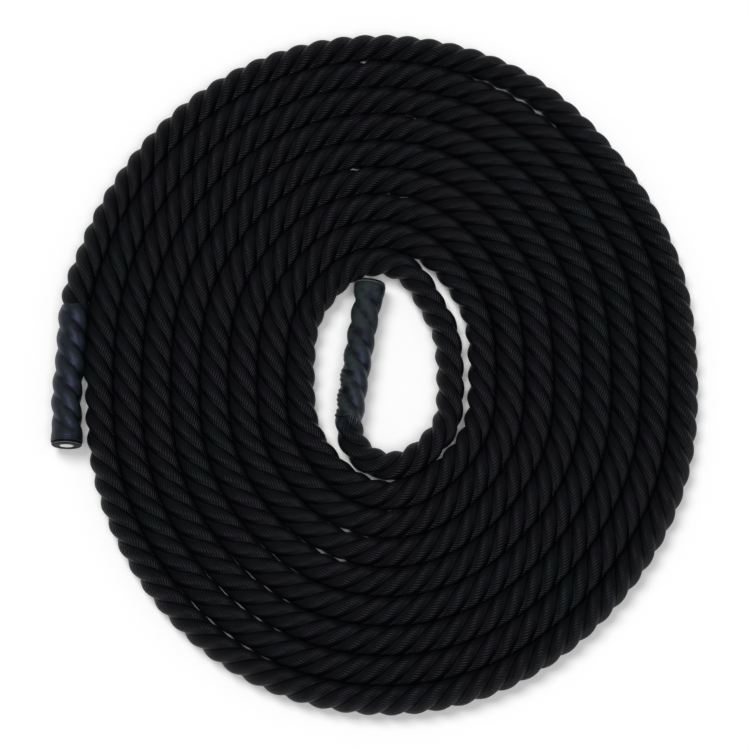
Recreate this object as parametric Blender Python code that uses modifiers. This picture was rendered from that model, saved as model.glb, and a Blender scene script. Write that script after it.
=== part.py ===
"""A battle rope of three twisted strands, about 15 m long, laid down as a flat coil with a grip at each end.

The rope is one unbroken tube. It starts in the grip that lies in the eye of the coil, winds outwards
anticlockwise as seen from above, and ends in the grip that lies against the coil's left side.
Each grip is a heat-shrunk sleeve, which follows the three strands under it, and a moulded end cap.
Metres, +Z up, with the origin at the bottom centre of the whole object.
"""

import math

import bmesh
import bpy
import numpy as np
from mathutils import Matrix, Vector, geometry

# The rope: its thickness over the strands, the length in which a strand goes once round, how much of
# its thickness is cut flat on the floor, and its radius where a sleeve squeezes it
ROPE_DIAMETER = 0.037
ROPE_LAY = 0.091
FLAT_DEPTH_SHARE = 0.1
SQUEEZED_RADIUS_SHARE = 0.395
STRANDS = 3

# The gap between pieces that touch
GAP = 0.0003

# The coil: loops that lie beside each other round a long narrow core, in the middle of the eye
LOOP_SLACK = 0.002
LOOP_POINTS = 24
COIL_STEPS = 209
CORE_HALF_WIDTH = 0.005
EYE_INSET = 0.0432
FIRST_LOOP_OFFSET = 0.0752
START_ANGLE = -math.pi / 2

# How far the loops stand off an even oval, every 30 degrees from the start, as shares of the pitch:
# for the innermost loop and for the outermost one
INNER_SWELL_SHARES = (0.11, 0.09, 0.08, 0.17, -0.06, -0.01, 0.08, -0.02, -0.14, -0.01, -0.14, -0.10)
OUTER_SWELL_SHARES = (0.16, 0.06, 0.01, 0.14, -0.15, -0.02, 0.07, -0.01, -0.14, -0.06, -0.06, 0.11)

# Where the rope lies loose: loops from the start, loops either way, and the push outwards
LOOSE_PLACE_SHARES = ((0, 0.05, -0.05), (0.31, 0.065, -0.26), (0.40, 0.05, -0.08), (8.42, 0.035, 0.06))

# The grips: how far they reach over the rope, and where they lie beside the loops
GRIP_LENGTH = 0.195
GRIP_CLEARANCE = 0.0006
INNER_GRIP_SIDE_SHARE = -0.43
INNER_GRIP_SLANT = 0.1338
INNER_LOBE_ANGLE = -0.16
INNER_LEAD_STEPS = 5
INNER_LEAD_REACH = 0.028
OUTER_GRIP_SLANT = 0.0105
OUTER_LOBE_ANGLE = 2.1
OUTER_LEAD_STEPS = 3
OUTER_LEAD_REACH = 0.022
OUTER_LEAD_LENGTH = 0.0695
OUTER_LEAD_SIDE = 0.017

# The sleeves
SLEEVE_WALL = 0.0012
LOBE_DEPTH = 0.0032
OUTER_SLEEVE_EXTRA = 0.001
NECK_CLEARANCE = 0.0035
NECK_RUN = 0.009
SLEEVE_SIDES = 24
SLEEVE_RINGS = 36
RING_SPREAD_SHARE = 1.3

# The end caps: the rim that shows, the spigot under the sleeve, and the dish in the end face
CAP_RIM = 0.0045
CAP_STEP = 0.0008
CAP_EDGE_RADIUS = 0.003
CAP_WALL = 0.0033
CAP_FLOOR = 0.002
SPIGOT_LENGTH = 0.007
DISC_RADIUS = 0.0093
DISC_THICKNESS = 0.0016
DISC_EDGE = 0.0003
ROUND_STEPS = 32
EDGE_STEPS = 4

# The tape that binds the cut strands inside each cap
TAPE_THICKNESS = 0.0012

# How far the floor's cutter reaches past what it cuts
OVERRUN = 0.05

# Sizes that follow from the ones above
LOOP_PITCH = ROPE_DIAMETER + LOOP_SLACK
CORE_HALF_LENGTH = GRIP_LENGTH / 2 - EYE_INSET
ROPE_RADIUS = ROPE_DIAMETER / 2
ROPE_HEIGHT = ROPE_RADIUS - FLAT_DEPTH_SHARE * ROPE_DIAMETER
SQUEEZED_RADIUS = SQUEEZED_RADIUS_SHARE * ROPE_DIAMETER
CROWN_RADIUS = SQUEEZED_RADIUS + 2 * GAP + SLEEVE_WALL + LOBE_DEPTH
CAP_BORE_RADIUS = SQUEEZED_RADIUS + TAPE_THICKNESS + 2 * GAP
SPIGOT_RADIUS = CAP_BORE_RADIUS + CAP_WALL
CAP_RADIUS = SPIGOT_RADIUS + CAP_STEP
OVER_CAP_RADIUS = SPIGOT_RADIUS + GAP + SLEEVE_WALL
GRIP_HEIGHT = max(CAP_RADIUS, OVER_CAP_RADIUS, CROWN_RADIUS + OUTER_SLEEVE_EXTRA) + GAP
SPIGOT_END = CAP_RIM + SPIGOT_LENGTH
DISH_DEPTH = DISC_THICKNESS + 2 * GAP
BORE_END = DISH_DEPTH + CAP_FLOOR


def material(name, colour, roughness):
    """A Principled material, from a linear colour."""
    made = bpy.data.materials.new(name)
    made.use_nodes = True
    shader = made.node_tree.nodes["Principled BSDF"]
    shader.inputs["Base Color"].default_value = (*colour, 1)
    shader.inputs["Roughness"].default_value = roughness
    shader.inputs["Metallic"].default_value = 0
    return made


def smooth_step(share):
    share = min(1, max(0, share))
    return share * share * (3 - 2 * share)


def swell(shares, turn):
    """The smooth wave through the twelve shares, at an angle counted from the coil's start."""
    waves = np.fft.rfft(shares) / len(shares)
    total = waves[0].real
    for number, wave in enumerate(waves[1:], 1):
        sides = 1 if 2 * number == len(shares) else 2
        total += sides * (wave * np.exp(1j * number * turn)).real
    return float(total)


def coil_point(loops):
    """The rope's axis in the coil's plane, at a number of loops from the start."""
    turn = 2 * math.pi * loops
    outwards = Vector((math.cos(START_ANGLE + turn), math.sin(START_ANGLE + turn)))
    reach = math.hypot(CORE_HALF_WIDTH * outwards.x, CORE_HALF_LENGTH * outwards.y)
    core = Vector((CORE_HALF_WIDTH**2 * outwards.x, CORE_HALF_LENGTH**2 * outwards.y)) / reach
    done = loops * LOOP_POINTS / COIL_STEPS
    loose = swell(INNER_SWELL_SHARES, turn) * (1 - done) + swell(OUTER_SWELL_SHARES, turn) * done
    for place, spread, push in LOOSE_PLACE_SHARES:
        loose += push * math.exp(-(((loops - place) / spread) ** 2))
    return core + (FIRST_LOOP_OFFSET + LOOP_PITCH * (loops + loose)) * outwards


def distances(place, line):
    """The distances from a place to each stretch of a line of points."""
    starts, steps = line[:-1], line[1:] - line[:-1]
    share = ((np.array(place) - starts) * steps).sum(axis=1) / (steps**2).sum(axis=1)
    nearest = starts + np.clip(share, 0, 1)[:, None] * steps
    return np.linalg.norm(np.array(place) - nearest, axis=1)


def rounded(centre, radius, start, end):
    """Points of a round edge, as distances from the grip's axis and depths."""
    angles = [math.radians(start + (end - start) * n / EDGE_STEPS) for n in range(EDGE_STEPS + 1)]
    return [(centre[0] + radius * math.cos(a), centre[1] + radius * math.sin(a)) for a in angles]


class Grip:
    """One grip: its name, its end, its axis towards the rope, how stout its sleeve is, and its lobes."""

    def __init__(self, name, end, axis, crown_radius, lobe_angle):
        self.name = name
        self.end = end
        self.axis = axis.normalized()
        self.crown_radius = crown_radius
        self.lobe_angle = lobe_angle

    def at(self, depth, side=0):
        """The place at a depth from the end face, and at a distance to one side of the axis."""
        return self.end + depth * self.axis + side * self.axis.orthogonal()

    def clearance(self, coil):
        """How far the grip's outline, seen from above, stays from the rope."""
        outline = rounded((CAP_RADIUS - CAP_EDGE_RADIUS, CAP_EDGE_RADIUS), CAP_EDGE_RADIUS, 0, -90)
        outline += [(OVER_CAP_RADIUS, CAP_RIM), (OVER_CAP_RADIUS, SPIGOT_END + NECK_CLEARANCE)]
        outline += [(self.crown_radius, GRIP_LENGTH * n / SLEEVE_RINGS) for n in range(4, SLEEVE_RINGS)]
        places = [self.at(depth, side * radius) for radius, depth in outline for side in (-1, 1)]
        return min(distances(place, coil).min() for place in places) - ROPE_RADIUS

    def seat(self, coil, towards):
        """Move the grip until it lies clear of the loops."""
        while self.clearance(coil) < GRIP_CLEARANCE:
            self.end = self.end + GAP * towards

    def matrix(self):
        """The frame whose Z runs from the end face towards the rope, with Y up."""
        place = Matrix.Translation((*self.end, GRIP_HEIGHT))
        return place @ self.axis.to_3d().to_track_quat("Z", "Y").to_matrix().to_4x4()

    def rope_points(self):
        """The rope's straight run in the grip, from its cut end to the mouth, as places and radii."""
        depths = (BORE_END + GAP, GRIP_LENGTH)
        return [((*self.at(depth), GRIP_HEIGHT), SQUEEZED_RADIUS) for depth in depths]


def make_grips(coil):
    """The inner grip slides down the eye off the first loop, and the outer one lies beside the last."""
    top = coil[LOOP_POINTS // 2]
    eye_half_width = CORE_HALF_WIDTH + FIRST_LOOP_OFFSET - ROPE_RADIUS
    axis = Vector((-INNER_GRIP_SLANT, -1))
    end = Vector((eye_half_width * INNER_GRIP_SIDE_SHARE + GRIP_LENGTH * INNER_GRIP_SLANT / 2, top[1]))
    end.y -= ROPE_RADIUS
    inner = Grip("inner", end, axis, CROWN_RADIUS, INNER_LOBE_ANGLE)
    inner.seat(coil, inner.axis)
    mouth = Vector(coil[-1]) - Vector((OUTER_LEAD_SIDE, OUTER_LEAD_LENGTH))
    axis = Vector((OUTER_GRIP_SLANT, 1))
    crown = CROWN_RADIUS + OUTER_SLEEVE_EXTRA
    outer = Grip("outer", mouth - GRIP_LENGTH * axis, axis, crown, OUTER_LOBE_ANGLE)
    outer.seat(coil, Vector((-1, 0)))
    return inner, outer


def lead(start, start_axis, end, end_axis, reach, steps, heights):
    """The smooth bend between a grip's mouth and the coil, as places and radii, without its ends."""
    handles = (start + reach * start_axis, end - reach * end_axis)
    bend = geometry.interpolate_bezier(start, *handles, end, steps + 1)
    rise = [heights[0] + (heights[1] - heights[0]) * n / steps for n in range(steps + 1)]
    return [((*place, height), ROPE_RADIUS) for place, height in zip(bend, rise)][1:-1]


def rope_route(coil, inner, outer):
    """The whole rope from end to end, as places and radii."""
    start, end = Vector(coil[0]), Vector(coil[-1])
    step = 1 / LOOP_POINTS
    leaving = (coil_point(step) - coil_point(-step)).normalized()
    arriving = Vector(coil[-1] - coil[-2]).normalized()
    heights = (GRIP_HEIGHT, ROPE_HEIGHT)
    route = inner.rope_points()
    mouth = inner.at(GRIP_LENGTH)
    route += lead(mouth, inner.axis, start, leaving, INNER_LEAD_REACH, INNER_LEAD_STEPS, heights)
    route += [((*place, ROPE_HEIGHT), ROPE_RADIUS) for place in coil]
    mouth = outer.at(GRIP_LENGTH)
    route += lead(end, arriving, mouth, -outer.axis, OUTER_LEAD_REACH, OUTER_LEAD_STEPS, heights[::-1])
    return route + outer.rope_points()[::-1]


def least_gap(route):
    """The least gap between the tube and itself, half a loop or more further on."""
    places = np.array([place for place, _ in route])
    radii = np.array([radius for _, radius in route])
    apart = LOOP_POINTS // 2
    least = math.inf
    for number, (place, radius) in enumerate(route):
        for near in (slice(0, max(0, number - apart)), slice(number + apart, len(route))):
            if len(places[near]) > 1:
                stretch = np.maximum(radii[near][1:], radii[near][:-1])
                least = min(least, (distances(place, places[near]) - stretch).min() - radius)
    return least


def tube(name, route):
    """A mesh tube along the route, six-sided, with a flat side down."""
    data = bpy.data.curves.new(name + "_guide", "CURVE")
    data.dimensions = "3D"
    data.twist_mode = "Z_UP"
    data.bevel_depth = ROPE_RADIUS
    data.bevel_resolution = 1
    data.use_fill_caps = True
    line = data.splines.new("POLY")
    line.points.add(len(route) - 1)
    for point, (place, radius) in zip(line.points, route):
        point.co = (*place, 1)
        point.radius = radius / ROPE_RADIUS
    guide = bpy.data.objects.new(name + "_guide", data)
    bpy.context.scene.collection.objects.link(guide)
    bpy.context.view_layer.update()
    seen = guide.evaluated_get(bpy.context.evaluated_depsgraph_get())
    mesh = bpy.data.meshes.new_from_object(seen)
    mesh.name = name
    work = bmesh.new()
    work.from_mesh(mesh)
    bmesh.ops.remove_doubles(work, verts=work.verts, dist=GAP / 10)
    bmesh.ops.recalc_face_normals(work, faces=work.faces)
    work.to_mesh(mesh)
    work.free()
    made = bpy.data.objects.new(name, mesh)
    made.matrix_world = guide.matrix_world
    bpy.data.objects.remove(guide)
    return made


def placed(name, work, grip):
    """An object made of a bmesh in the grip's own frame."""
    mesh = bpy.data.meshes.new(name)
    work.to_mesh(mesh)
    work.free()
    made = bpy.data.objects.new(name, mesh)
    made.matrix_world = grip.matrix()
    return made


def sleeve(grip):
    """The heat-shrunk sleeve: round over the cap's spigot, then drawn in on the three twisted strands."""
    start = CAP_RIM + GAP
    neck = SPIGOT_END + NECK_CLEARANCE
    middle = grip.crown_radius - LOBE_DEPTH / 2
    work = bmesh.new()
    bmesh.ops.create_grid(work, x_segments=SLEEVE_SIDES, y_segments=SLEEVE_RINGS, size=0.5)
    for corner in work.verts:
        turn = 2 * math.pi * (corner.co.x + 0.5)
        depth = start + (GRIP_LENGTH - start) * (corner.co.y + 0.5) ** RING_SPREAD_SHARE
        strand = STRANDS * (turn - grip.lobe_angle + 2 * math.pi * depth / ROPE_LAY)
        drawn_in = smooth_step((depth - neck) / NECK_RUN)
        lobed = middle + LOBE_DEPTH / 2 * math.cos(strand)
        radius = OVER_CAP_RADIUS + (lobed - OVER_CAP_RADIUS) * drawn_in
        corner.co = (radius * math.cos(turn), radius * math.sin(turn), depth)
    bmesh.ops.remove_doubles(work, verts=work.verts, dist=GAP / 10)
    made = placed("grip_sleeve_" + grip.name, work, grip)
    made.data.shade_smooth()
    wall = made.modifiers.new("wall", "SOLIDIFY")
    wall.thickness = SLEEVE_WALL
    wall.offset = -1
    wall.use_even_offset = True
    return made


def end_cap(grip):
    """The moulded cap: a rounded rim, a spigot that goes under the sleeve, and a dished end face."""
    edge = CAP_EDGE_RADIUS
    profile = [(0, BORE_END), (CAP_BORE_RADIUS, BORE_END), (CAP_BORE_RADIUS, SPIGOT_END)]
    profile += [(SPIGOT_RADIUS, SPIGOT_END), (SPIGOT_RADIUS, CAP_RIM), (CAP_RADIUS, CAP_RIM)]
    profile += rounded((CAP_RADIUS - edge, edge), edge, 0, -90)
    profile += [(DISC_RADIUS + GAP, 0), (DISC_RADIUS + GAP, DISH_DEPTH), (0, DISH_DEPTH)]
    work = bmesh.new()
    corners = [work.verts.new((radius, 0, depth)) for radius, depth in profile]
    for one, other in zip(corners, corners[1:]):
        work.edges.new((one, other))
    made = placed("end_cap_" + grip.name, work, grip)
    screw = made.modifiers.new("turn", "SCREW")
    screw.steps = ROUND_STEPS
    screw.render_steps = ROUND_STEPS
    screw.use_merge_vertices = True
    screw.merge_threshold = GAP / 10
    return made


def cylinder(name, radius, start, length, caps, grip):
    """A cylinder round the grip's axis, from a depth on."""
    work = bmesh.new()
    bmesh.ops.create_cone(
        work,
        cap_ends=caps,
        segments=ROUND_STEPS,
        radius1=radius,
        radius2=radius,
        depth=length,
        matrix=Matrix.Translation((0, 0, start + length / 2)),
    )
    return placed(name + "_" + grip.name, work, grip)


def end_disc(grip):
    """The pale disc that lies in the cap's dish."""
    made = cylinder("end_disc", DISC_RADIUS, GAP, DISC_THICKNESS, True, grip)
    edge = made.modifiers.new("edge", "BEVEL")
    edge.width = DISC_EDGE
    edge.segments = 1
    return made


def end_tape(grip):
    """The tape round the rope's cut end, inside the cap's spigot."""
    start = BORE_END + GAP
    radius = CAP_BORE_RADIUS - GAP
    made = cylinder("end_tape", radius, start, SPIGOT_END - start, False, grip)
    wall = made.modifiers.new("wall", "SOLIDIFY")
    wall.thickness = TAPE_THICKNESS
    wall.offset = -1
    return made


def floor_cutter(route):
    """A block under the floor, wider than the coil."""
    reach = max(math.hypot(place[0], place[1]) for place, _ in route) + OVERRUN
    work = bmesh.new()
    bmesh.ops.create_cube(work, size=1)
    bmesh.ops.scale(work, verts=work.verts, vec=(2 * reach, 2 * reach, OVERRUN))
    bmesh.ops.translate(work, verts=work.verts, vec=(0, 0, -OVERRUN / 2))
    mesh = bpy.data.meshes.new("floor_cutter")
    work.to_mesh(mesh)
    work.free()
    made = bpy.data.objects.new("floor_cutter", mesh)
    made.hide_render = True
    made.display_type = "WIRE"
    return made


def bounds(parts):
    """The lowest and highest corners of the finished parts."""
    bpy.context.view_layer.update()
    graph = bpy.context.evaluated_depsgraph_get()
    corners = []
    for part in parts:
        seen = part.evaluated_get(graph)
        corners += [seen.matrix_world @ corner.co for corner in seen.to_mesh().vertices]
        seen.to_mesh_clear()
    return np.min(corners, axis=0), np.max(corners, axis=0)


def main():
    for old in list(bpy.data.objects):
        bpy.data.objects.remove(old)
    group = bpy.data.collections.new("battle_rope")
    cutters = bpy.data.collections.new("cutters")
    cutters.hide_render = True
    for each in (group, cutters):
        bpy.context.scene.collection.children.link(each)

    rope_black = material("black_rope_yarn", (0.012, 0.013, 0.014), 0.75)
    sleeve_black = material("black_heat_shrink", (0.014, 0.015, 0.018), 0.42)
    cap_black = material("black_moulded_cap", (0.011, 0.012, 0.014), 0.35)
    disc_white = material("white_plastic_disc", (0.78, 0.78, 0.77), 0.4)
    tape_grey = material("grey_binding_tape", (0.09, 0.09, 0.1), 0.5)

    coil = np.array([coil_point(step / LOOP_POINTS) for step in range(COIL_STEPS + 1)])
    inner, outer = make_grips(coil)
    route = rope_route(coil, inner, outer)
    run = sum(math.dist(one, other) for (one, _), (other, _) in zip(route, route[1:]))
    print(f"length of the rope's axis: {run:.2f} m")
    print(f"least gap of the rope to itself, from mouth to mouth: {least_gap(route[1:-1]) * 1000:.2f} mm")

    cutter = floor_cutter(route)
    cutters.objects.link(cutter)
    rope = tube("rope", route)
    cut = rope.modifiers.new("floor", "BOOLEAN")
    cut.operation = "DIFFERENCE"
    cut.object = cutter
    finishes = [(rope, rope_black)]
    for grip in (inner, outer):
        finishes += [(sleeve(grip), sleeve_black), (end_cap(grip), cap_black)]
        finishes += [(end_disc(grip), disc_white), (end_tape(grip), tape_grey)]
    for part, finish in finishes:
        part.data.materials.append(finish)
        group.objects.link(part)

    low, high = bounds([part for part, _ in finishes])
    origin = bpy.data.objects.new("origin", None)
    group.objects.link(origin)
    for part in [part for part, _ in finishes] + [cutter]:
        part.parent = origin
    origin.location = (-(low[0] + high[0]) / 2, -(low[1] + high[1]) / 2, -low[2])


main()
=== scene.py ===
"""The looks of a black battle rope in a flat coil: its strands, its shrunk sleeves and its caps."""

import math

import bmesh
import bpy
import numpy as np
from mathutils import Matrix, Vector, geometry, kdtree


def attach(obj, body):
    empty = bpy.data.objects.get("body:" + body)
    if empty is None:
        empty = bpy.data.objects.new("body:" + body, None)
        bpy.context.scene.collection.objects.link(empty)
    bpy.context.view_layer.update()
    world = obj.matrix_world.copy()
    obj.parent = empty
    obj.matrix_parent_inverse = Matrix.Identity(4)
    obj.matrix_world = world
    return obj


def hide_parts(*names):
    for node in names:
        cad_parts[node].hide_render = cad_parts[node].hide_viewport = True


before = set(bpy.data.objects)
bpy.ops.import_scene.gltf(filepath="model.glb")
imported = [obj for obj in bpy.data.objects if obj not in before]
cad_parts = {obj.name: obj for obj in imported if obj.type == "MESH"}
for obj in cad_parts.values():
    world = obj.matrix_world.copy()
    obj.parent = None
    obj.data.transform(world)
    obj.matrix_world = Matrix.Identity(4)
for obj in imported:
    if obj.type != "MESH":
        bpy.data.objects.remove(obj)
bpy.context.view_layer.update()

# The route of the rope, in metres, as the solids have it
ROPE_DIAMETER = 0.037
ROPE_LAY = 0.091
STRANDS = 3
GAP = 0.0003
LOOP_PITCH = 0.039
LOOP_POINTS = 24
COIL_STEPS = 209
CORE_HALF_WIDTH = 0.005
CORE_HALF_LENGTH = 0.0543
FIRST_LOOP_OFFSET = 0.0752
START_ANGLE = -math.pi / 2
# How far the loops stand off an even oval, every 30 degrees from the start, as shares of the pitch:
# for the innermost loop and for the outermost one
INNER_SWELL_SHARES = (0.11, 0.09, 0.08, 0.17, -0.06, -0.01, 0.08, -0.02, -0.14, -0.01, -0.14, -0.10)
OUTER_SWELL_SHARES = (0.16, 0.06, 0.01, 0.14, -0.15, -0.02, 0.07, -0.01, -0.14, -0.06, -0.06, 0.11)
# Where the rope lies loose: loops from the start, loops either way, and the push outwards
LOOSE_PLACE_SHARES = (
    (0, 0.05, -0.05),
    (0.31, 0.065, -0.26),
    (0.40, 0.05, -0.08),
    (8.42, 0.035, 0.06),
)
# Where the coil's own centre lies in the part's frame
ORIGIN = Vector((0.0082, -0.0081))

# The grips, as the solids have them
GRIP_LENGTH = 0.195
INNER_GRIP_END = (-0.0150, 0.1222)
INNER_GRIP_SLANT = 0.1338
INNER_LOBE_ANGLE = -0.16
INNER_LEAD_REACH = 0.028
OUTER_GRIP_END = (-0.4212, -0.1069)
OUTER_GRIP_SLANT = 0.0105
OUTER_LOBE_ANGLE = 2.1
OUTER_LEAD_REACH = 0.022
OUTER_SLEEVE_EXTRA = 0.001
SLEEVE_WALL = 0.0012
LOBE_DEPTH = 0.0032
CAP_RIM = 0.0045
CAP_STEP = 0.0008
CAP_EDGE_RADIUS = 0.003
CAP_WALL = 0.0033
CAP_FLOOR = 0.002
SPIGOT_LENGTH = 0.007
DISC_RADIUS = 0.0093
DISC_THICKNESS = 0.0016
TAPE_THICKNESS = 0.0012
SQUEEZED_RADIUS_SHARE = 0.395
SQUEEZED_RADIUS = SQUEEZED_RADIUS_SHARE * ROPE_DIAMETER
INNER_CROWN_RADIUS = SQUEEZED_RADIUS + 2 * GAP + SLEEVE_WALL + LOBE_DEPTH
OUTER_CROWN_RADIUS = INNER_CROWN_RADIUS + OUTER_SLEEVE_EXTRA
CAP_BORE_RADIUS = SQUEEZED_RADIUS + TAPE_THICKNESS + 2 * GAP
SPIGOT_RADIUS = CAP_BORE_RADIUS + CAP_WALL
SPIGOT_END = CAP_RIM + SPIGOT_LENGTH
CAP_RADIUS = SPIGOT_RADIUS + CAP_STEP
OVER_CAP_RADIUS = SPIGOT_RADIUS + GAP + SLEEVE_WALL
GRIP_HEIGHT = OVER_CAP_RADIUS + GAP
DISH_DEPTH = DISC_THICKNESS + 2 * GAP
BORE_END = DISH_DEPTH + CAP_FLOOR
# How deep in the cap the rope's cut end lies, and the sleeve's mouth as a length of rope from there
CUT_END = BORE_END + GAP
MOUTH_RUN = GRIP_LENGTH - CUT_END

# How far each grip sways off its straight axis, to the photograph's right: the depths from its end
# face, and the sway there. It is read at every millimetre, and eased over some steps either way
INNER_SWAY = ((0, 0.024, 0.05, 0.09, 0.15, 0.2), (0, 0, -0.0015, -0.0026, -0.0035, -0.0032))
OUTER_SWAY = (
    (0, 0.024, 0.062, 0.09, 0.115, 0.16, 0.2),
    (0, 0, -0.0028, -0.0018, 0.0002, 0.0014, 0.0027),
)
SWAY_DEPTHS = np.linspace(-0.03, 0.23, 261)
SWAY_EASE_STEPS = 12

# The strands: a round section set off the rope's axis, flat where it meets the other two
STRAND_RADIUS = 0.0113
STRAND_OFFSET = 0.0079
STRAND_CROWN = STRAND_OFFSET + STRAND_RADIUS
STRAND_SIDES = 28
STRAND_GAP = 0.00004
LYING_HEIGHT = 0.0176
# The groove between two strands is filled by this much, from a share of the way down to its floor
GROOVE_FILL = 0.0009
GROOVE_FLOOR_START = 0.66
GROOVE_FLOOR_RUN = 0.34
# The line that they follow: points for each of the solids' points, points on each grip and on each
# lead, the steps either way that even its kinks out, and the length of rope from ring to ring
FINE_POINTS = 10
GRIP_POINTS = 60
KINK_STEPS = 7
RING_STEP = 0.003
# How much a sleeve and a cap squeeze the rope, and the lengths of rope in which it narrows
SLEEVE_SQUEEZE = 0.05
SLEEVE_SQUEEZE_AHEAD = 0.01
SLEEVE_SQUEEZE_RUN = 0.014
CAP_SQUEEZE = 0.17
CAP_SQUEEZE_RUN = 0.008
# A yarn is really about 2 mm wide: it is drawn coarser, because that is too fine to show
YARN_PITCH = 0.0032
# Yarns run nearly along the rope where a strand crowns, though the strand itself crosses it: they
# lean back by this many times the strand's own lean
LEAN_BACK = 1.1
YARN_LEAN = LEAN_BACK * 2 * math.pi * STRAND_CROWN / ROPE_LAY

# Neighbours are looked for this far away, among places at least this length of rope further on
NEIGHBOUR_REACH = 0.05
NEIGHBOUR_RUN = 0.2
# Loops nearer than this press on each other, the more so over the ease: their lower flanks spread
# until they meet, by a little overlap
PRESSED_PITCH = 0.0404
PRESSED_EASE = 0.0009
PRESSED_OVERLAP = 0.0001
PRESSED_EASE_STEPS = 4
# The first loop presses on the second where it begins, and then lies clear of it, by length of rope
FIRST_LOOP_PRESS = ((0.33, 0.35, 0.46, 0.5), (0.0411, 0.038, 0.038, PRESSED_PITCH))
# Loops that lie a little further apart still lean on each other, apart from the first loop's start
LEAN_SHARE = 0.3
LEAN_PITCH = 0.0025
LEAN_EASE = 0.001
LEAN_START = 0.5
# Short places where two loops don't quite meet: the length of rope on the inner one, and how
# freely they lie there
PARTED = (
    (1.1, 0.8),
    (2.12, 0.7),
    (2.77, 1.7),
    (3.41, 0.6),
    (4.24, 1.7),
    (7.77, 1.7),
    (12.405, 1.7),
)
PARTED_BY = 0.001
PARTED_REACH = 0.03
# The coil's outside presses on the outer grip and its lead where it is nearer than this, between
# these lengths of rope from the outer cut end. It enters between the sleeve's lobes by this much,
# and still does so this far past the mouth
PRESSED_TO_LEAD = 0.0445
LEAD_START = 0.097
LEAD_END = 0.262
LOBE_ENTRY = 0.003
PAST_MOUTH = 0.015
# A pressed side widens by this share at most. Its flank spreads from the foot's angle up to the
# top's, in degrees off the level, each with its ease, and never further from the rope's axis than
# the farthest spread
MOST_WIDENING = 0.06
FLANK_TOP = 26
FLANK_TOP_EASE = 30
FLANK_FOOT = -62
FLANK_FOOT_EASE = 14
FARTHEST_SPREAD = 0.0257

# The sleeves' mesh, and the neck where each is drawn in from the cap to the strands
SLEEVE_RINGS = 341
SLEEVE_SIDES = 108
NECK_START = SPIGOT_END + 0.001
NECK_RUN = 0.016
# A lobe's section runs from 0 on its crown to 1 in the crease, which is softened a little
LOBE_CREST = 1.01
LOBE_RANGE = 0.869
CREASE_SOFTNESS = 0.02
# The mouth: the share of the sleeve where it starts, how far it tucks in and is cut back, and the
# uneven cut's waves as waves round it, their turn and their height
MOUTH_START = 0.93
MOUTH_LENGTH = 0.07
MOUTH_TUCK = 0.0007
MOUTH_CUT = 0.0012
MOUTH_WAVES = ((3, 1, 0.0007), (7, 0, 0.0005))
# Over the cap's edge the tube is drawn into two fine rings, which end this far from its start
RIM_RING_HEIGHT = 0.00035
RIM_RING_OFFSET = 0.0006
RIM_RING_PITCH = 0.0026
RIM_RINGS_END = 0.0062
RIM_RING_EASE = 0.001
# The crinkles on one flank: how high, how far apart, how far they wind and how often round it.
# They start at a share of the sleeve, and have their full height, which is each grip's own, after a
# further share
CRINKLE_WAVES = ((1, 0.007, 1.5, 2), (0.4, 0.0043, 2, 3))
CRINKLE_START = 0.4
CRINKLE_RUN = 0.4
INNER_CRINKLES = 0.00065
OUTER_CRINKLES = 0.00006
# How much painted light the tube takes over the cap. On the lobes it is 1 on a crown and 0 in a
# crease, where it is painted shade
OVER_CAP_CROWN_LIGHT = 0.35

# The caps and discs: steps round them, softened edges, and how near two points are one. The disc
# is domed: the shares of its radius, and how far it stands out there
TURN_STEPS = 96
SHARP_ANGLE = math.radians(40)
EDGE_STEPS = 8
SOFT_EDGE_STEPS = 4
SAME_PLACE = GAP / 20
CAP_SOFT_EDGE = 0.0005
DISC_SOFT_EDGE = 0.0003
DISC_SET_BACK = 0.0001
DISC_DOME = ((0, 0.0004), (0.5, 0.0003), (0.8, 0.0001))

# The yarn's look: how many spots of nap and of tint go in a metre, and filaments in a yarn
NAP_PER_METRE = 30.0
TINT_PER_METRE = 14.0
FILAMENTS_PER_YARN = 7
FILAMENT_STRETCH = 0.9
# How much paler a raised nap makes a yarn, how much one yarn differs from the next, and how narrow
# the painted glint on a yarn is, which is narrower still in the painted glints at the inner sleeve's
# mouth
NAP_LIFT = 0.9
LEAST_LIFT = 0.1
SHADE_LIFT = 0.4
GLINT_POWER = 3.2
MOUTH_GLINT_POWER = 7.0
# A strand takes painted light this near to its crown, and painted shade this far from it
LIT_WITHIN = 0.002
SHADED_BEYOND = 0.0115
# How far a yarn stands up, and how much more it stands up where the painted crown light is full
LEAST_PROUD = 0.5
CROWN_LIGHT_PROUD = 0.45
# Painted glints reach this many yarn widths from the inner sleeve's mouth
MOUTH_GLINT_RUN = 6

# The shrunk tubes' look: how many broad and fine ripples go in a metre, how they blotch the colour
# and the gloss, and how much the lobes' crowns count in the painted light on the crowns and the
# painted shade in the creases
BROAD_PER_METRE = 80.0
FINE_PER_METRE = 260.0
BLOTCH_CONTRAST = 2.8
BLOTCH_LEVEL = -1.2
CROWN_LIGHT = 0.75
TUBE_ROUGHNESS = 0.42
BLOTCH_ROUGHNESS = 0.12
SCUFFED_ROUGHNESS = 0.2

# The moulded plastic's look: grains in a metre, and a painted highlight ring's soft and full
# half-widths
GRAIN_PER_METRE = 900.0
HIGHLIGHT_RING_SOFT = 0.0007
HIGHLIGHT_RING_FULL = 0.0002

# The photograph's camera: its tilt off the vertical, its distance, and in the photograph's pixels
# its focal length and where it puts the coil's centre
PHOTO_SIZE = 750
CAMERA_TILT = math.radians(15)
CAMERA_DISTANCE = 3.585
FOCAL_PIXELS = 2646
AIM_PIXEL = (381.6, 373.0)
SENSOR = 36
FLOOR_SIZE = 30
BOARD_GLOW = 0.03


def linear(colour):
    """An sRGB hex colour as the shader's linear colour."""
    parts = [int(colour[n : n + 2], 16) / 255 for n in (1, 3, 5)]
    return (*((c / 12.92 if c <= 0.04045 else ((c + 0.055) / 1.055) ** 2.4) for c in parts), 1)


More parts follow.
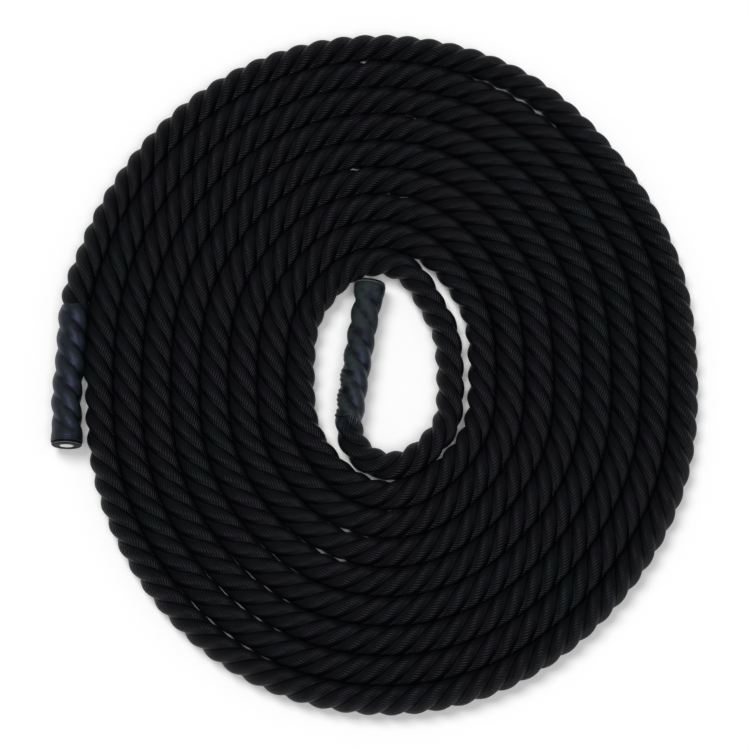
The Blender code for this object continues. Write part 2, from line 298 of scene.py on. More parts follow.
def add(tree, kind, inputs=(), **settings):
    """A node with its settings, and with its inputs linked or set."""
    made = tree.nodes.new("ShaderNode" + kind)
    for name, value in settings.items():
        setattr(made, name, value)
    for name, value in dict(inputs).items():
        if isinstance(value, bpy.types.NodeSocket):
            tree.links.new(value, made.inputs[name])
        else:
            made.inputs[name].default_value = value
    return made


def surface(name):
    """A new material, its node tree and its Principled shader."""
    made = bpy.data.materials.new(name)
    made.use_nodes = True
    tree = made.node_tree
    return made, tree, tree.nodes["Principled BSDF"]


def ramp(tree, factor, low, high, low_at, high_at):
    """A blend between two colours over a stretch of the factor."""
    made = add(tree, "ValToRGB", {"Fac": factor})
    stops = made.color_ramp.elements
    stops[0].position, stops[0].color = low_at, linear(low)
    stops[1].position, stops[1].color = high_at, linear(high)
    return made.outputs["Color"]


def twisted_polyester():
    """Black polyester filament yarn, spun and laid into strands: matt, with a painted glint along
    each yarn, crowns paler as painted light and grooves darker as painted shade.
    """
    made, tree, shader = surface("twisted_polyester_yarn")
    yarns = add(tree, "UVMap", uv_map="yarn").outputs["UV"]
    across, along, _ = add(tree, "SeparateXYZ", {"Vector": yarns}).outputs
    # One yarn is YARN_PITCH wide and stands up round between two creases, which are kept dark as
    # painted shade
    crease = add(tree, "Math", {0: across, 1: 0.5}, operation="PINGPONG").outputs[0]
    crown = add(tree, "Math", {0: crease, 1: math.pi}, operation="MULTIPLY").outputs[0]
    crown = add(tree, "Math", {0: crown}, operation="SINE").outputs[0]
    # Each yarn is a little lighter or darker than the next
    number = add(tree, "Math", {0: across}, operation="FLOOR").outputs[0]
    shade = add(tree, "TexWhiteNoise", {"W": number}, noise_dimensions="1D").outputs["Value"]
    # Filaments run along the yarn, about 0.45 mm apart, coarser than real ones, which wouldn't show
    stretch = {0: yarns, 1: (FILAMENTS_PER_YARN, FILAMENT_STRETCH, 1)}
    stretch = add(tree, "VectorMath", stretch, operation="MULTIPLY").outputs[0]
    fibre = add(tree, "TexNoise", {"Vector": stretch, "Scale": 1.0, "Detail": 2.0}).outputs["Fac"]
    # Handling has raised a nap in some places, about 30 mm long, and left others smooth
    place = add(tree, "TexCoord").outputs["Object"]
    nap = {"Vector": place, "Scale": NAP_PER_METRE, "Detail": 7.0, "Roughness": 0.72}
    worn = add(tree, "TexNoise", nap).outputs["Fac"]
    worn = {"Value": worn, "From Min": 0.42, "From Max": 0.66}
    worn = add(tree, "MapRange", worn).outputs[0]
    # A painted highlight: the yarn's colour lifts along its crown as a glint, and the creases
    # between stay dark as painted shade
    glint = add(tree, "Math", {0: crown, 1: GLINT_POWER}, operation="POWER").outputs[0]
    lift = {0: worn, 1: NAP_LIFT, 2: LEAST_LIFT}
    lift = add(tree, "Math", lift, operation="MULTIPLY_ADD").outputs[0]
    lift = {0: shade, 1: SHADE_LIFT, 2: lift}
    lift = add(tree, "Math", lift, operation="MULTIPLY_ADD").outputs[0]
    # Its colour is palest as painted light where the strand stands out, and painted shade keeps it
    # dark for 8 mm up from the grooves
    width = {0: along, 1: YARN_LEAN, 2: across}
    width = add(tree, "Math", width, operation="MULTIPLY_ADD").outputs[0]
    width = add(tree, "Math", {0: width}, operation="ABSOLUTE").outputs[0]
    painted_crown_light = {"From Min": SHADED_BEYOND / YARN_PITCH, "From Max": LIT_WITHIN / YARN_PITCH}
    painted_crown_light = {"Value": width, **painted_crown_light, "To Min": 0.25, "To Max": 0.8}
    painted_crown_light = add(tree, "MapRange", painted_crown_light, interpolation_type="SMOOTHSTEP").outputs[0]
    lift = add(tree, "Math", {0: painted_crown_light, 1: lift}, operation="MULTIPLY").outputs[0]
    lift = add(tree, "Math", {0: glint, 1: lift}, operation="MULTIPLY").outputs[0]
    proud = {0: painted_crown_light, 1: CROWN_LIGHT_PROUD, 2: LEAST_PROUD}
    proud = add(tree, "Math", proud, operation="MULTIPLY_ADD").outputs[0]
    proud = add(tree, "Math", {0: crown, 1: proud}, operation="MULTIPLY").outputs[0]
    # The dye leans towards green in some places and towards violet in others
    tint = {"Vector": place, "Scale": TINT_PER_METRE, "Detail": 1.0}
    tint = add(tree, "TexNoise", tint).outputs["Fac"]
    tint = ramp(tree, tint, "#121e23", "#1e1a28", 0.42, 0.58)
    colour = {"Fac": lift, "Color1": linear("#0a0b0c"), "Color2": tint}
    colour = add(tree, "MixRGB", colour).outputs[0]
    # Where the rope comes out of the inner sleeve, a painted highlight: grey-blue glints along the
    # yarns' crowns
    mouth = MOUTH_RUN / YARN_PITCH
    painted_mouth_glint = {"Value": along, "From Min": mouth, "From Max": mouth + MOUTH_GLINT_RUN}
    painted_mouth_glint = {**painted_mouth_glint, "To Min": 1.2, "To Max": 0.0}
    painted_mouth_glint = add(tree, "MapRange", painted_mouth_glint, interpolation_type="SMOOTHSTEP").outputs[0]
    glint_line = add(tree, "Math", {0: crown, 1: MOUTH_GLINT_POWER}, operation="POWER").outputs[0]
    glint_line = add(tree, "Math", {0: glint_line, 1: painted_crown_light}, operation="MULTIPLY").outputs[0]
    glint_line = add(tree, "Math", {0: glint_line, 1: shade}, operation="MULTIPLY").outputs[0]
    painted_mouth_glint = add(tree, "Math", {0: painted_mouth_glint, 1: glint_line}, operation="MULTIPLY").outputs[0]
    colour = {"Fac": painted_mouth_glint, "Color1": colour, "Color2": linear("#6f7f92")}
    colour = add(tree, "MixRGB", colour).outputs[0]
    tree.links.new(colour, shader.inputs["Base Color"])
    rough = add(tree, "MapRange", {"Value": fibre, "To Min": 0.32, "To Max": 0.46}).outputs[0]
    tree.links.new(rough, shader.inputs["Roughness"])
    bump = add(tree, "Bump", {"Height": proud, "Strength": 1.0, "Distance": 0.0008}).outputs[0]
    bump = {"Height": fibre, "Strength": 0.3, "Distance": 0.0003, "Normal": bump}
    tree.links.new(add(tree, "Bump", bump).outputs[0], shader.inputs["Normal"])
    shader.inputs["Specular IOR Level"].default_value = 0.17
    shader.inputs["Specular Tint"].default_value = linear("#f0f1f9")
    return made


def shrunk_polyolefin(name, dark, light, shine, scuffed):
    """Black polyolefin tube, shrunk on with hot air: satin, softly rippled, dull where scuffed, with
    painted light on its lobes' crowns and painted shade in the creases.
    """
    made, tree, shader = surface("shrunk_polyolefin_" + name)
    place = add(tree, "TexCoord").outputs["Object"]
    broad = {"Vector": place, "Scale": BROAD_PER_METRE, "Detail": 2.0}
    broad = add(tree, "TexNoise", broad).outputs["Fac"]
    fine = {"Vector": place, "Scale": FINE_PER_METRE, "Detail": 3.0}
    fine = add(tree, "TexNoise", fine).outputs["Fac"]
    # Painted light makes it paler on the lobes' crowns and painted shade keeps the creases dark,
    # under blotches of the tube's own uneven tone
    crown = add(tree, "Attribute", attribute_name="crown").outputs["Fac"]
    blotch = {0: broad, 1: BLOTCH_CONTRAST, 2: BLOTCH_LEVEL}
    blotch = add(tree, "Math", blotch, operation="MULTIPLY_ADD").outputs[0]
    painted_crown_light = {0: crown, 1: CROWN_LIGHT, 2: blotch}
    painted_crown_light = add(tree, "Math", painted_crown_light, operation="MULTIPLY_ADD").outputs[0]
    tree.links.new(ramp(tree, painted_crown_light, dark, light, 0.1, 1.0), shader.inputs["Base Color"])
    # Handling has dulled it up to the first of these depths, and hasn't beyond the second
    depth = add(tree, "SeparateXYZ", {"Vector": place}).outputs["Z"]
    dull = {"Value": depth, "From Min": scuffed[0], "From Max": scuffed[1]}
    dull = {**dull, "To Min": SCUFFED_ROUGHNESS, "To Max": 0.0}
    dull = add(tree, "MapRange", dull, interpolation_type="SMOOTHSTEP").outputs[0]
    rough = {0: broad, 1: BLOTCH_ROUGHNESS, 2: TUBE_ROUGHNESS}
    rough = add(tree, "Math", rough, operation="MULTIPLY_ADD").outputs[0]
    rough = add(tree, "Math", {0: rough, 1: dull}, operation="ADD").outputs[0]
    tree.links.new(rough, shader.inputs["Roughness"])
    bump = add(tree, "Bump", {"Height": broad, "Strength": 0.6, "Distance": 0.0014}).outputs[0]
    bump = {"Height": fine, "Strength": 0.9, "Distance": 0.0005, "Normal": bump}
    tree.links.new(add(tree, "Bump", bump).outputs[0], shader.inputs["Normal"])
    shader.inputs["Specular IOR Level"].default_value = shine
    shader.inputs["Specular Tint"].default_value = linear("#b4a8ea")
    return made


def moulded(name, dark, light, roughness, gloss, painted_highlight_at=None):
    """Injection-moulded plastic: one colour, the mould's fine grain, perhaps a painted highlight
    ring.
    """
    made, tree, shader = surface(name)
    place = add(tree, "TexCoord").outputs["Object"]
    grain = {"Vector": place, "Scale": GRAIN_PER_METRE, "Detail": 2.0}
    grain = add(tree, "TexNoise", grain).outputs["Fac"]
    colour = ramp(tree, grain, dark, light, 0.3, 0.7)
    # A pale ring at a given depth is a painted highlight on the cap's edge
    if painted_highlight_at:
        depth = add(tree, "SeparateXYZ", {"Vector": place}).outputs["Z"]
        apart = add(tree, "Math", {0: depth, 1: painted_highlight_at}, operation="SUBTRACT").outputs[0]
        apart = add(tree, "Math", {0: apart}, operation="ABSOLUTE").outputs[0]
        painted_ring = {"Value": apart, "From Min": HIGHLIGHT_RING_SOFT, "From Max": HIGHLIGHT_RING_FULL}
        painted_ring = add(tree, "MapRange", {**painted_ring, "To Min": 0.0, "To Max": 0.4}).outputs[0]
        colour = {"Fac": painted_ring, "Color1": colour, "Color2": linear("#8f9a9c")}
        colour = add(tree, "MixRGB", colour).outputs[0]
    tree.links.new(colour, shader.inputs["Base Color"])
    bump = add(tree, "Bump", {"Height": grain, "Strength": 0.2, "Distance": 0.0002}).outputs[0]
    tree.links.new(bump, shader.inputs["Normal"])
    shader.inputs["Roughness"].default_value = roughness
    shader.inputs["Specular IOR Level"].default_value = gloss
    return made


def white_board():
    """Matt white board under the rope: it takes the soft shadows and runs out to plain white."""
    made, tree, shader = surface("white_painted_board")
    shader.inputs["Base Color"].default_value = linear("#fdfdfd")
    shader.inputs["Roughness"].default_value = 0.9
    shader.inputs["Specular IOR Level"].default_value = 0.0
    seen = add(tree, "LightPath").outputs["Is Camera Ray"]
    glow = add(tree, "Math", {0: seen, 1: BOARD_GLOW}, operation="MULTIPLY").outputs[0]
    tree.links.new(glow, shader.inputs["Emission Strength"])
    shader.inputs["Emission Color"].default_value = linear("#ffffff")
    return made


def smooth_step(share):
    """The share, eased at 0 and at 1 and held there."""
    share = np.clip(share, 0, 1)
    return share * share * (3 - 2 * share)


def bell(steps):
    """Weights that fall off smoothly over a number of steps either way, and add up to one."""
    weights = np.hanning(2 * steps + 3)[1:-1]
    return weights / weights.sum()


class Grip:
    """One grip: its place, its sleeve's crown, lobes and crinkles, its sway and its plastics."""

    def __init__(self, name, end, axis, crown_radius, lobe_angle, sway, crinkles, tube, moulding):
        self.name = name
        self.end = Vector(end) + ORIGIN
        self.axis = Vector(axis).normalized()
        self.crown_radius = crown_radius
        self.lobe_angle = lobe_angle
        self.sway = sway
        self.crinkles = crinkles
        self.tube = tube
        self.moulding = moulding

    def swayed(self, depths):
        """The sway at each depth, smooth between the given places."""
        padded = np.pad(np.interp(SWAY_DEPTHS, *self.sway), SWAY_EASE_STEPS, "edge")
        return np.interp(depths, SWAY_DEPTHS, np.convolve(padded, bell(SWAY_EASE_STEPS), "valid"))

    def at(self, depth):
        """The place at a depth from the end face, on the axis with its sway."""
        return self.end + depth * self.axis + Vector((float(self.swayed(depth)), 0))

    def matrix(self):
        """The frame whose Z runs from the end face towards the rope, with Y up."""
        place = Matrix.Translation((*self.end, GRIP_HEIGHT))
        return place @ self.axis.to_3d().to_track_quat("Z", "Y").to_matrix().to_4x4()


# The inner sleeve is duller and greyer, most of all near its cap
inner_tube = shrunk_polyolefin(
    "tube_inner", dark="#080e0c", light="#25302b", shine=0.65, scuffed=(0.07, 0.11)
)
outer_tube = shrunk_polyolefin(
    "tube_outer", dark="#050b08", light="#15231b", shine=0.9, scuffed=(-0.02, -0.01)
)
# Each cap has a thin painted highlight line: by the sleeve on the inner one, on the outer one's
# rounded edge
CAP_LOOK = {"dark": "#0b0d0e", "light": "#121415", "roughness": 0.5, "gloss": 0.06}
inner_moulding = moulded("moulded_black_pvc_inner", **CAP_LOOK, painted_highlight_at=0.004)
outer_moulding = moulded("moulded_black_pvc_outer", **CAP_LOOK, painted_highlight_at=0.0013)
INNER = Grip(
    "inner",
    INNER_GRIP_END,
    (-INNER_GRIP_SLANT, -1),
    INNER_CROWN_RADIUS,
    INNER_LOBE_ANGLE,
    INNER_SWAY,
    INNER_CRINKLES,
    inner_tube,
    inner_moulding,
)
OUTER = Grip(
    "outer",
    OUTER_GRIP_END,
    (OUTER_GRIP_SLANT, 1),
    OUTER_CROWN_RADIUS,
    OUTER_LOBE_ANGLE,
    OUTER_SWAY,
    OUTER_CRINKLES,
    outer_tube,
    outer_moulding,
)


def swell(shares, turn):
    """The smooth wave through the twelve shares, at an angle counted from the coil's start."""
    waves = np.fft.rfft(shares) / len(shares)
    total = waves[0].real
    for number, wave in enumerate(waves[1:], 1):
        sides = 1 if 2 * number == len(shares) else 2
        total += sides * (wave * np.exp(1j * number * turn)).real
    return float(total)


def coil_point(loops):
    """The rope's axis in the coil's plane, at a number of loops from the start."""
    turn = 2 * math.pi * loops
    outwards = Vector((math.cos(START_ANGLE + turn), math.sin(START_ANGLE + turn)))
    reach = math.hypot(CORE_HALF_WIDTH * outwards.x, CORE_HALF_LENGTH * outwards.y)
    core = Vector((CORE_HALF_WIDTH**2 * outwards.x, CORE_HALF_LENGTH**2 * outwards.y)) / reach
    done = loops * LOOP_POINTS / COIL_STEPS
    loose = swell(INNER_SWELL_SHARES, turn) * (1 - done) + swell(OUTER_SWELL_SHARES, turn) * done
    for place, spread, push in LOOSE_PLACE_SHARES:
        loose += push * math.exp(-(((loops - place) / spread) ** 2))
    return core + (FIRST_LOOP_OFFSET + LOOP_PITCH * (loops + loose)) * outwards


def bend(start, start_axis, end, end_axis, reach, heights):
    """A smooth lead between a grip's mouth and the coil, which sinks to the floor on the way."""
    handles = (start + reach * start_axis, end - reach * end_axis)
    line = geometry.interpolate_bezier(start, *handles, end, GRIP_POINTS)
    share = smooth_step(np.linspace(0, 1, GRIP_POINTS))
    return [(*p, heights[0] + (heights[1] - heights[0]) * s) for p, s in zip(line, share)]


def rope_line():
    """The rope's axis from cut end to cut end, in even steps, with the length run at each."""
    steps = FINE_POINTS * LOOP_POINTS
    fine = [coil_point(n / steps) + ORIGIN for n in range(FINE_POINTS * COIL_STEPS + 1)]
    leaving = (coil_point(1 / LOOP_POINTS) - coil_point(-1 / LOOP_POINTS)).normalized()
    arriving = (fine[-1] - fine[-1 - FINE_POINTS]).normalized()
    heights = (GRIP_HEIGHT, LYING_HEIGHT)
    depths = [CUT_END + GRIP_LENGTH * n / GRIP_POINTS for n in range(GRIP_POINTS - 1)]
    line = [(*INNER.at(depth), GRIP_HEIGHT) for depth in depths]
    mouth = INNER.at(GRIP_LENGTH)
    line += bend(mouth, INNER.axis, fine[0], leaving, INNER_LEAD_REACH, heights)[:-1]
    line += [(*place, LYING_HEIGHT) for place in fine]
    mouth = OUTER.at(GRIP_LENGTH)
    line += bend(fine[-1], arriving, mouth, -OUTER.axis, OUTER_LEAD_REACH, heights[::-1])[1:]
    line += [(*OUTER.at(depth), GRIP_HEIGHT) for depth in depths[::-1]]
    line = np.array(line)
    run = np.concatenate(([0], np.cumsum(np.linalg.norm(np.diff(line, axis=0), axis=1))))
    even = np.linspace(0, run[-1], round(run[-1] / RING_STEP) + 1)
    line = np.stack([np.interp(even, run, line[:, axis]) for axis in range(3)], axis=1)
    return smoothed(line, KINK_STEPS), even


def smoothed(line, steps):
    """The line with its small kinks evened out, and its two ends where they were."""
    head = [line[0] + (line[0] - line[1]) * n for n in range(steps, 0, -1)]
    tail = [line[-1] + (line[-1] - line[-2]) * n for n in range(1, steps + 1)]
    padded = np.vstack((head, line, tail))
    return np.stack([np.convolve(row, bell(steps), "valid") for row in padded.T], axis=1)


def directions(line):
    """The rope's own sideways and upward directions at each place."""
    tangent = np.gradient(line, axis=0)
    tangent /= np.linalg.norm(tangent, axis=1)[:, None]
    side = np.cross(tangent, (0, 0, 1))
    side /= np.linalg.norm(side, axis=1)[:, None]
    return side, np.cross(side, tangent)


def strand_section():
    """One strand's outline, outwards and sideways from the rope's axis, and the way round it."""
    half = math.pi / STRANDS
    groove = STRAND_OFFSET * math.cos(half)
    groove += math.sqrt(STRAND_RADIUS**2 - (STRAND_OFFSET * math.sin(half)) ** 2)
    wrap = math.atan2(groove * math.sin(half), groove * math.cos(half) - STRAND_OFFSET)
    angles = np.linspace(-wrap, wrap, STRAND_SIDES - 1)
    out, beside = STRAND_OFFSET + STRAND_RADIUS * np.cos(angles), STRAND_RADIUS * np.sin(angles)
    # The strands are pressed flat against each other, so the groove between two has a rounded floor
    way_down = np.abs(np.arctan2(beside, out)) / half
    filled = smooth_step((way_down - GROOVE_FLOOR_START) / GROOVE_FLOOR_RUN)
    fuller = 1 + GROOVE_FILL * filled / np.hypot(out, beside)
    outline = np.stack((out * fuller, beside * fuller), axis=1)
    outline = np.vstack((outline, (GAP, 0)))
    return outline * (1, 1 - STRAND_GAP / STRAND_RADIUS), angles * STRAND_RADIUS


def squeeze(run):
    """The share of its full size that the rope keeps: less under the sleeves, least in the caps."""
    depths = np.minimum(run, run[-1] - run) + CUT_END
    under = smooth_step((GRIP_LENGTH + SLEEVE_SQUEEZE_AHEAD - depths) / SLEEVE_SQUEEZE_RUN)
    capped = smooth_step((SPIGOT_END + CAP_SQUEEZE_RUN - depths) / CAP_SQUEEZE_RUN)
    return (1 - SLEEVE_SQUEEZE * under - CAP_SQUEEZE * capped)[:, None]


def twist(run):
    """How far a strand has turned at each place, from the top: it fits the lobes at both grips."""
    hidden = 2 * math.pi * CUT_END / ROPE_LAY
    first = INNER.lobe_angle - math.pi / 2 - hidden
    total = 2 * math.pi * run[-1] / ROPE_LAY
    wanted = math.pi / 2 - OUTER.lobe_angle + hidden
    lobe = 2 * math.pi / STRANDS
    error = (wanted - (first - total) + lobe / 2) % lobe - lobe / 2
    middle = smooth_step((run - GRIP_LENGTH) / (run[-1] - 2 * GRIP_LENGTH))
    return first - 2 * math.pi * run / ROPE_LAY + error * middle


def pressing_limits(run):
    """How near a neighbour has to lie to press on the rope, at each place."""
    limits = np.interp(run, *FIRST_LOOP_PRESS)
    for place, freely in PARTED:
        limits = limits - freely * PARTED_BY * np.exp(-(((run - place) / PARTED_REACH) ** 2))
    return limits


def meeting(line, run):
    """How far from its axis the rope's two sides meet a neighbour, and how surely they do."""
    side, _ = directions(line)
    inside = run[-1] - run
    in_grip = (run < GRIP_LENGTH) | (inside < GRIP_LENGTH)
    at_mouth = in_grip | (inside < GRIP_LENGTH + PAST_MOUTH)
    in_lead = (inside > LEAD_START) & (inside < LEAD_END)
    limits = pressing_limits(run)
    flat = [Vector((x, y, 0)) for x, y, _ in line]
    tree = kdtree.KDTree(len(flat))
    for number, place in enumerate(flat):
        tree.insert(place, number)
    tree.balance()
    found = np.zeros((len(line), 2, 2))
    for number in np.flatnonzero(~in_grip):
        outwards = Vector(side[number])
        nearest = [NEIGHBOUR_REACH, NEIGHBOUR_REACH]
        for place, other, distance in tree.find_range(flat[number], NEIGHBOUR_REACH):
            beside = int((place - flat[number]).dot(outwards) > 0)
            if distance >= nearest[beside] or abs(run[other] - run[number]) <= NEIGHBOUR_RUN:
                continue
            nearest[beside] = distance
            first, last = sorted((number, other))
            limit = 0 if in_grip[other] else limits[first]
            if in_lead[last]:
                limit = PRESSED_TO_LEAD
            lean = LEAN_SHARE * smooth_step((limit + LEAN_PITCH - distance) / LEAN_EASE)
            lean = lean * (run[first] > LEAN_START)
            surely = lean + (1 - lean) * smooth_step((limit - distance) / PRESSED_EASE)
            reach = distance / 2 + PRESSED_OVERLAP
            if at_mouth[other]:
                reach = distance - OUTER_CROWN_RADIUS + LOBE_ENTRY
            found[number, beside] = reach, surely
    weights = np.ones(2 * PRESSED_EASE_STEPS + 1) / (2 * PRESSED_EASE_STEPS + 1)
    around = (PRESSED_EASE_STEPS, PRESSED_EASE_STEPS)
    rows = np.pad(found.reshape(-1, 4), (around, (0, 0)), "edge")
    rows = np.stack([np.convolve(row, weights, "valid") for row in rows.T], axis=1)
    return rows.reshape(-1, 2, 2)


def pressed(grid, line, met):
    """The strands where loops lie against each other: the lower flanks spread until they meet."""
    side, up = directions(line)
    offset = grid - line[:, None]
    across = (offset * side[:, None]).sum(axis=2)
    height = (offset * up[:, None]).sum(axis=2)
    reach, surely = (np.where(across > 0, met[:, 1:, n], met[:, :1, n]) for n in (0, 1))
    reach = np.minimum(reach, np.sqrt(np.maximum(FARTHEST_SPREAD**2 - height**2, 0)))
    # The whole side widens until its crowns touch, and its lower flank fills the rest
    wide = 1 + surely * np.clip(reach / STRAND_CROWN - 1, 0, MOST_WIDENING)
    angle = np.degrees(np.arctan2(height, np.abs(across)))
    flank = surely * smooth_step((FLANK_TOP - angle) / FLANK_TOP_EASE)
    flank = flank * smooth_step((angle - FLANK_FOOT) / FLANK_FOOT_EASE)
    spread = (wide - 1) * np.abs(across) + np.maximum(reach - wide * np.abs(across), 0) * flank
    return grid + (spread * np.sign(across))[:, :, None] * side[:, None]


def strand_rings(section, number, line, run, met):
    """One strand's places, ring by ring along the rope."""
    side, up = directions(line)
    turn = twist(run) + 2 * math.pi * number / STRANDS
    out = (np.cos(turn)[:, None] * up + np.sin(turn)[:, None] * side) * squeeze(run)
    beside = (-np.sin(turn)[:, None] * up + np.cos(turn)[:, None] * side) * squeeze(run)
    grid = line[:, None] + section[None, :, :1] * out[:, None]
    grid = pressed(grid + section[None, :, 1:] * beside[:, None], line, met)
    grid[:, :, 2] = np.maximum(grid[:, :, 2], GAP)
    return grid


def yarn_map(around, run):
    """The strand's yarn map at its faces' corners: yarns across, and yarn widths along."""
    width = np.append(around, (around[-1] + STRAND_RADIUS, around[-1] + 2 * STRAND_RADIUS))
    u = (width[None, :] - YARN_LEAN * run[:, None]) / YARN_PITCH
    v = np.repeat(run[:, None] / YARN_PITCH, len(width), axis=1)
    yarn = np.stack((u, v), axis=2)
    corners = (yarn[:-1, :-1], yarn[1:, :-1], yarn[1:, 1:], yarn[:-1, 1:])
    return np.stack(corners, axis=2).reshape(-1, 2)


def finished(name, mesh, finish, matrix=Matrix()):
    """An object of a mesh, smooth and with its finish, placed in the scene."""
    mesh.materials.append(finish)
    mesh.shade_smooth()
    made = bpy.data.objects.new(name, mesh)
    made.matrix_world = matrix
    bpy.context.scene.collection.objects.link(made)
    return made


def strand(number, line, run, met, finish):
    """One strand of the rope, closed at both cut ends."""
    section, around = strand_section()
    grid = strand_rings(section, number, line, run, met)
    rings, sides = grid.shape[:2]
    index = np.arange(rings * sides).reshape(rings, sides)
    beside = np.roll(index, -1, axis=1)
    quads = np.stack((index[:-1], index[1:], beside[1:], beside[:-1]), axis=2).reshape(-1, 4)
    ends = [index[0].tolist(), index[-1][::-1].tolist()]
    mesh = bpy.data.meshes.new(f"strand_{number + 1}")
    mesh.from_pydata(grid.reshape(-1, 3).tolist(), [], quads.tolist() + ends)
    corners = np.vstack((yarn_map(around, run), np.zeros((2 * sides, 2))))
    mesh.uv_layers.new(name="yarn").data.foreach_set("uv", corners.ravel())
    return finished(mesh.name, mesh, finish)


def skin(name, radii, depths, grip, finish):
    """A tube of given radii at each depth and angle, with the sleeve's wall inwards."""
    turns = np.linspace(0, 2 * math.pi, radii.shape[1], endpoint=False)
    # The frame's X runs to the photograph's right for the inner grip, to its left for the outer one
    to_right = 1 if grip.axis.y < 0 else -1
    x, y = radii * np.cos(turns) + to_right * grip.swayed(depths), radii * np.sin(turns)
    grid = np.stack((x, y, depths), axis=2)
    index = np.arange(radii.size).reshape(radii.shape)
    beside = np.roll(index, -1, axis=1)
    quads = np.stack((index[:-1], beside[:-1], beside[1:], index[1:]), axis=2).reshape(-1, 4)
    mesh = bpy.data.meshes.new(name)
    mesh.from_pydata(grid.reshape(-1, 3).tolist(), [], quads.tolist())
    made = finished(name, mesh, finish, grip.matrix())
    wall = made.modifiers.new("wall", "SOLIDIFY")
    wall.thickness = SLEEVE_WALL
    wall.offset = -1
    return made


def sleeve(grip, finish):
    """The sleeve: round over the cap, then drawn in on the strands in lobes with sharp creases."""
    share = np.linspace(0, 1, SLEEVE_RINGS)[:, None]
    turns = np.linspace(0, 2 * math.pi, SLEEVE_SIDES, endpoint=False)[None]
    start = CAP_RIM + GAP
    near_mouth = smooth_step((share - MOUTH_START) / MOUTH_LENGTH)
    ragged = sum(height * np.sin(count * turns + turn) for count, turn, height in MOUTH_WAVES)
    depths = start + (GRIP_LENGTH - start) * share + (ragged - MOUTH_CUT) * near_mouth
    drawn_in = smooth_step((depths - NECK_START) / NECK_RUN)
    phase = STRANDS * (turns - grip.lobe_angle + 2 * math.pi * depths / ROPE_LAY)
    valley = (LOBE_CREST - np.sqrt(np.cos(phase / 2) ** 2 + CREASE_SOFTNESS)) / LOBE_RANGE
    lobed = grip.crown_radius - LOBE_DEPTH * valley - MOUTH_TUCK * near_mouth
    radii = OVER_CAP_RADIUS + (lobed - OVER_CAP_RADIUS) * drawn_in
    rings = np.sin(2 * math.pi * (depths - start - RIM_RING_OFFSET) / RIM_RING_PITCH)
    on_rim = smooth_step((start + RIM_RINGS_END - depths) / RIM_RING_EASE)
    radii = radii + RIM_RING_HEIGHT * rings * on_rim
    # The tube has gathered in crinkles on one flank, most of all near the mouth
    crinkle = sum(
        height * np.sin(2 * math.pi * depths / pitch + winding * np.sin(count * turns))
        for height, pitch, winding, count in CRINKLE_WAVES
    )
    crinkle = crinkle * smooth_step(-np.cos(turns))
    crinkle = crinkle * smooth_step((share - CRINKLE_START) / CRINKLE_RUN)
    radii = radii + grip.crinkles * crinkle
    made = skin("sleeve_" + grip.name, radii, depths, grip, finish)
    # The crown share, which the tube's colour takes as painted light on the crowns and painted shade
    # in the creases
    crown = OVER_CAP_CROWN_LIGHT + (1 - OVER_CAP_CROWN_LIGHT - valley) * drawn_in
    made.data.attributes.new("crown", "FLOAT", "POINT").data.foreach_set("value", crown.ravel())
    return made


def turned(name, profile, grip, finish):
    """A profile of distances from the axis and depths, turned round the grip's axis."""
    work = bmesh.new()
    corners = [work.verts.new((radius, 0, depth)) for radius, depth in profile]
    edges = [work.edges.new(pair) for pair in zip(corners, corners[1:])]
    bmesh.ops.spin(
        work,
        geom=corners + edges,
        axis=(0, 0, 1),
        cent=(0, 0, 0),
        steps=TURN_STEPS,
        angle=2 * math.pi,
    )
    bmesh.ops.remove_doubles(work, verts=work.verts, dist=SAME_PLACE)
    bmesh.ops.recalc_face_normals(work, faces=work.faces)
    mesh = bpy.data.meshes.new(name)
    work.to_mesh(mesh)
    work.free()
    made = finished(name, mesh, finish, grip.matrix())
    mesh.set_sharp_from_angle(angle=SHARP_ANGLE)
    return made


def rounded(centre, radius, start, end, steps):
    """Points of a round edge, as distances from the grip's axis and depths."""
    angles = [math.radians(start + (end - start) * n / steps) for n in range(steps + 1)]
    return [(centre[0] + radius * math.cos(a), centre[1] + radius * math.sin(a)) for a in angles]


def end_cap(grip, finish):
    """The cap: a rounded rim, a spigot under the sleeve and a dish with a softened edge."""
    edge, soft = CAP_EDGE_RADIUS, CAP_SOFT_EDGE
    lip = DISC_RADIUS + GAP
    profile = [(0, BORE_END), (CAP_BORE_RADIUS, BORE_END), (CAP_BORE_RADIUS, SPIGOT_END)]
    profile += [(SPIGOT_RADIUS, SPIGOT_END), (SPIGOT_RADIUS, CAP_RIM)]
    profile += rounded((CAP_RADIUS - soft, CAP_RIM - soft), soft, 90, 0, SOFT_EDGE_STEPS)
    profile += rounded((CAP_RADIUS - edge, edge), edge, 0, -90, EDGE_STEPS)
    profile += rounded((lip + soft, soft), soft, -90, -180, SOFT_EDGE_STEPS)
    profile += [(lip, DISH_DEPTH), (0, DISH_DEPTH)]
    return turned("cap_" + grip.name, profile, grip, finish)


def end_disc(grip, finish):
    """The pale disc, flush with the cap's face, slightly domed, with a softened edge."""
    soft = DISC_SOFT_EDGE
    front, back = GAP + DISC_SET_BACK, GAP + DISC_THICKNESS
    profile = [(share * DISC_RADIUS, front - rise) for share, rise in DISC_DOME]
    profile += rounded((DISC_RADIUS - soft, front + soft), soft, -90, 0, SOFT_EDGE_STEPS)
    profile += [(DISC_RADIUS, back), (0, back)]
    return turned("disc_" + grip.name, profile, grip, finish)


def lamp(name, bearing, height, spread, strength):
    """A far, soft light from a bearing and a height in degrees, as wide as its spread."""
    light = bpy.data.lights.new(name, "SUN")
    light.energy = strength
    light.angle = math.radians(spread)
    made = bpy.data.objects.new(name, light)
    made.rotation_euler = (0, math.radians(90 - height), math.radians(bearing))
    bpy.context.scene.collection.objects.link(made)
    return made


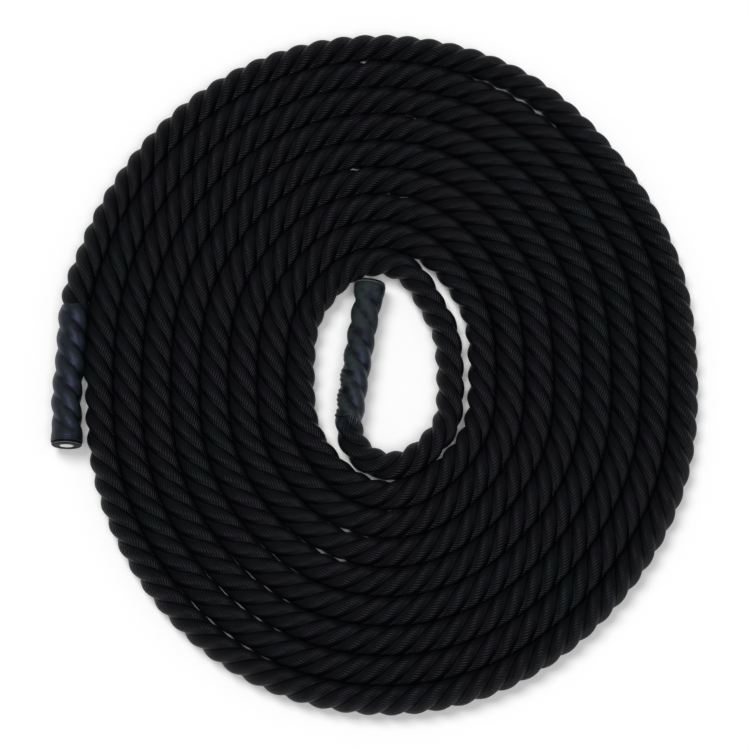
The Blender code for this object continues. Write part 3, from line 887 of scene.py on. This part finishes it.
def set_camera():
    """The photograph's view: nearly from above, leaning back towards the lower edge."""
    lens = bpy.data.cameras.new("camera")
    lens.sensor_width = SENSOR
    lens.lens = SENSOR * FOCAL_PIXELS / PHOTO_SIZE
    lens.shift_x = -(AIM_PIXEL[0] / PHOTO_SIZE - 0.5)
    lens.shift_y = AIM_PIXEL[1] / PHOTO_SIZE - 0.5
    camera = bpy.data.objects.new("camera", lens)
    back = Vector((0, -math.sin(CAMERA_TILT), math.cos(CAMERA_TILT)))
    camera.location = Vector((*ORIGIN, 0)) + CAMERA_DISTANCE * back
    camera.rotation_euler = (CAMERA_TILT, 0, 0)
    bpy.context.scene.collection.objects.link(camera)
    bpy.context.scene.camera = camera


def set_stage():
    """A white floor, a soft key from the upper left, a softer light over the viewer, a dim world."""
    bpy.ops.mesh.primitive_plane_add(size=FLOOR_SIZE)
    floor = bpy.context.object
    floor.name = "floor"
    floor.data.materials.append(white_board())
    key = lamp("key_softbox", bearing=132, height=61, spread=30, strength=1.6)
    # The key is feathered: it gives form and shadow, and no hard shine on the sleeves
    key.visible_glossy = False
    lamp("top_softbox", bearing=-67, height=68, spread=38, strength=1.2)
    world = bpy.data.worlds.new("studio")
    world.use_nodes = True
    world.node_tree.nodes["Background"].inputs["Color"].default_value = linear("#ffffff")
    world.node_tree.nodes["Background"].inputs["Strength"].default_value = 0.2
    bpy.context.scene.world = world
    bpy.context.scene.view_settings.view_transform = "Standard"


set_camera()
set_stage()

yarn = twisted_polyester()
disc_plastic = moulded("moulded_white_nylon", "#f2f2f0", "#f8f8f6", roughness=0.4, gloss=0.4)
tape = moulded("grey_pvc_tape", "#55555a", "#5f5f64", roughness=0.5, gloss=0.4)

line, run = rope_line()
met = meeting(line, run)
strands = [strand(number, line, run, met, yarn) for number in range(STRANDS)]
for each in strands:
    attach(each, "root")
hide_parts("rope")

for grip in (INNER, OUTER):
    dressed = (
        (sleeve(grip, grip.tube), "grip_sleeve_", "sleeve"),
        (end_cap(grip, grip.moulding), "end_cap_", "cap"),
        (end_disc(grip, disc_plastic), "end_disc_", "disc"),
    )
    for piece, node, slot in dressed:
        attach(piece, "root")
        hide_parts(node + grip.name)
    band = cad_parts["end_tape_" + grip.name]
    band.data.materials.clear()
    band.data.materials.append(tape)
